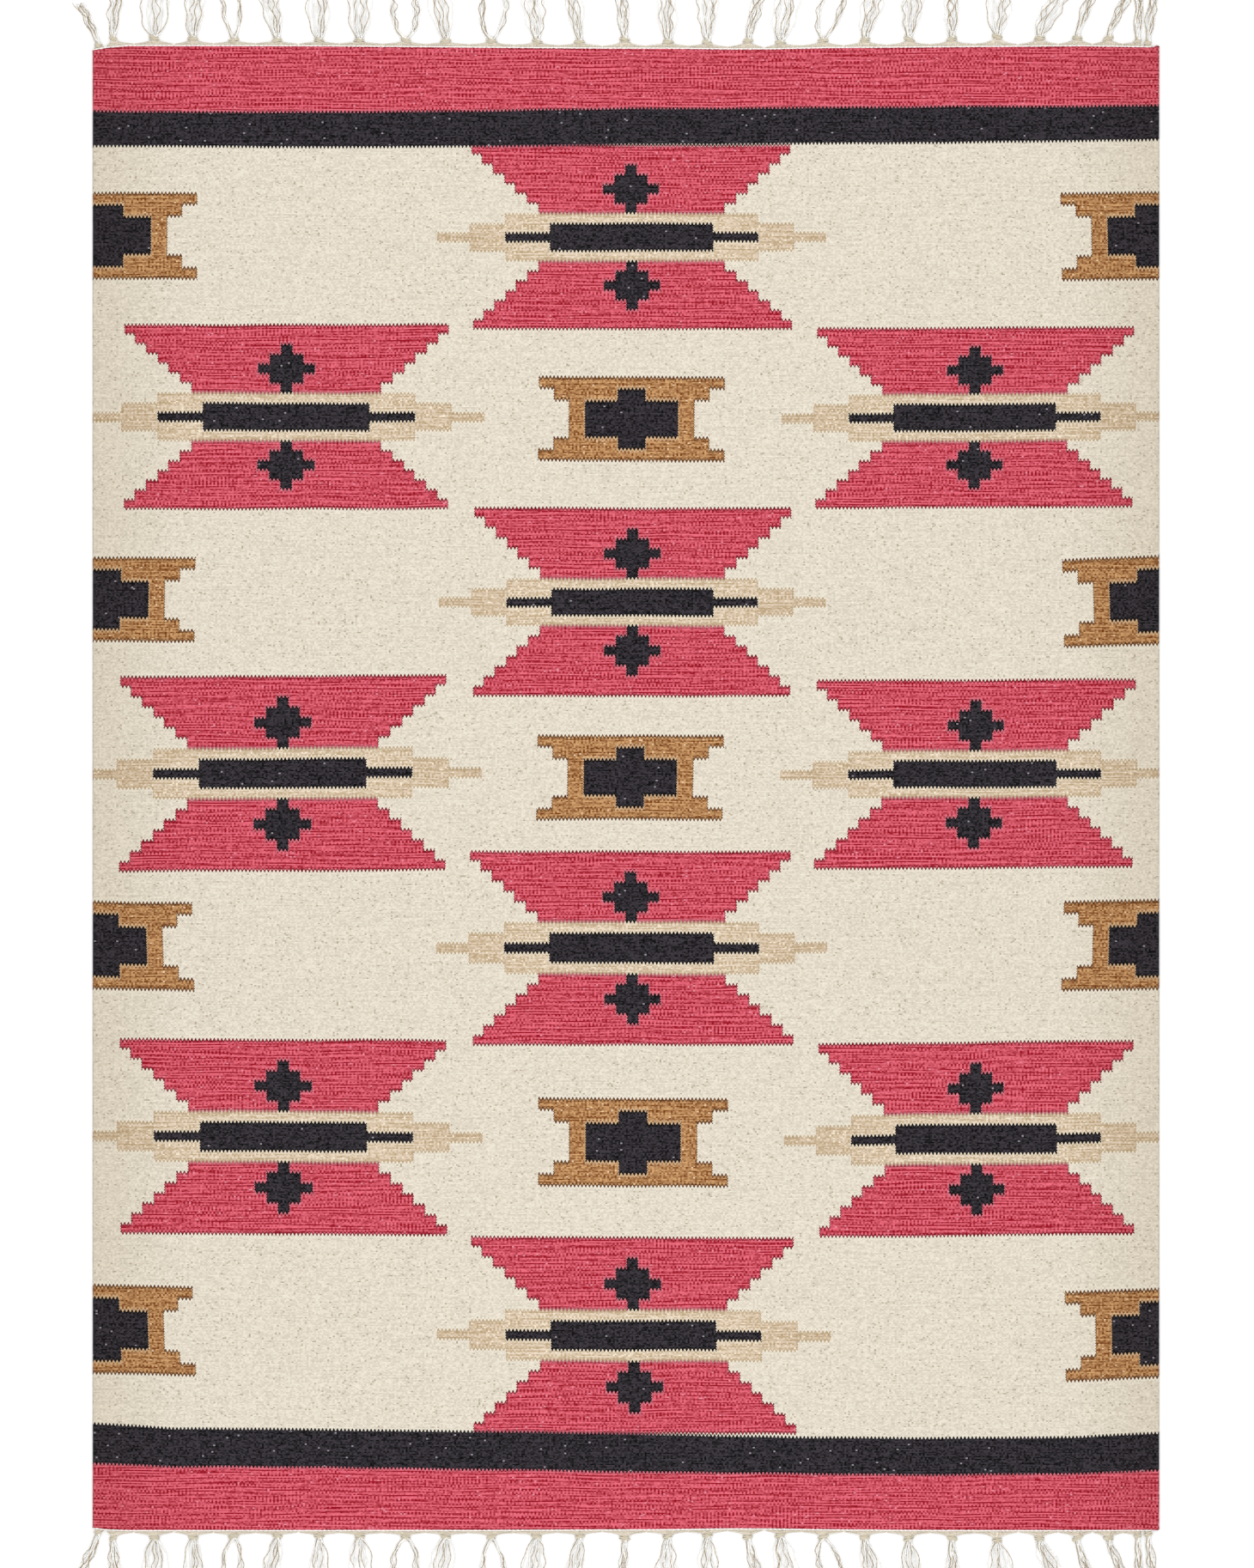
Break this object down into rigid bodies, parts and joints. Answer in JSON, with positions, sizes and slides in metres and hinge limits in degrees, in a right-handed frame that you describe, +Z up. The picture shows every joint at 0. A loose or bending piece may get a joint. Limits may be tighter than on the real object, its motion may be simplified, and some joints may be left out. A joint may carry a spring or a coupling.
{
  "type": "kilim rug",
  "caption": "Flat-woven kilim rug in a weft-faced weave with stepped geometric motifs and a knotted cotton fringe at each end.",
  "frame": {"origin": "middle of the cloth's underside, which is the floor it lies on", "axes": "+Z up out of the walking face, +Y along the warp towards the far end, +X along the weft to the right"},
  "size_m": [1.5431, 2.2813, 0.006],
  "materials": {
    "kilim_weave": "weft-faced plain weave of cotton yarn in cream, pink, black, beige and brown, matt",
    "cotton_fringe": "undyed plied cotton warp yarn, matt"
  },
  "bodies": {
    "root": {"kilim_cloth": "kilim_weave", "fringe_far": "cotton_fringe", "fringe_near": "cotton_fringe"}
  },
  "joints": []
}
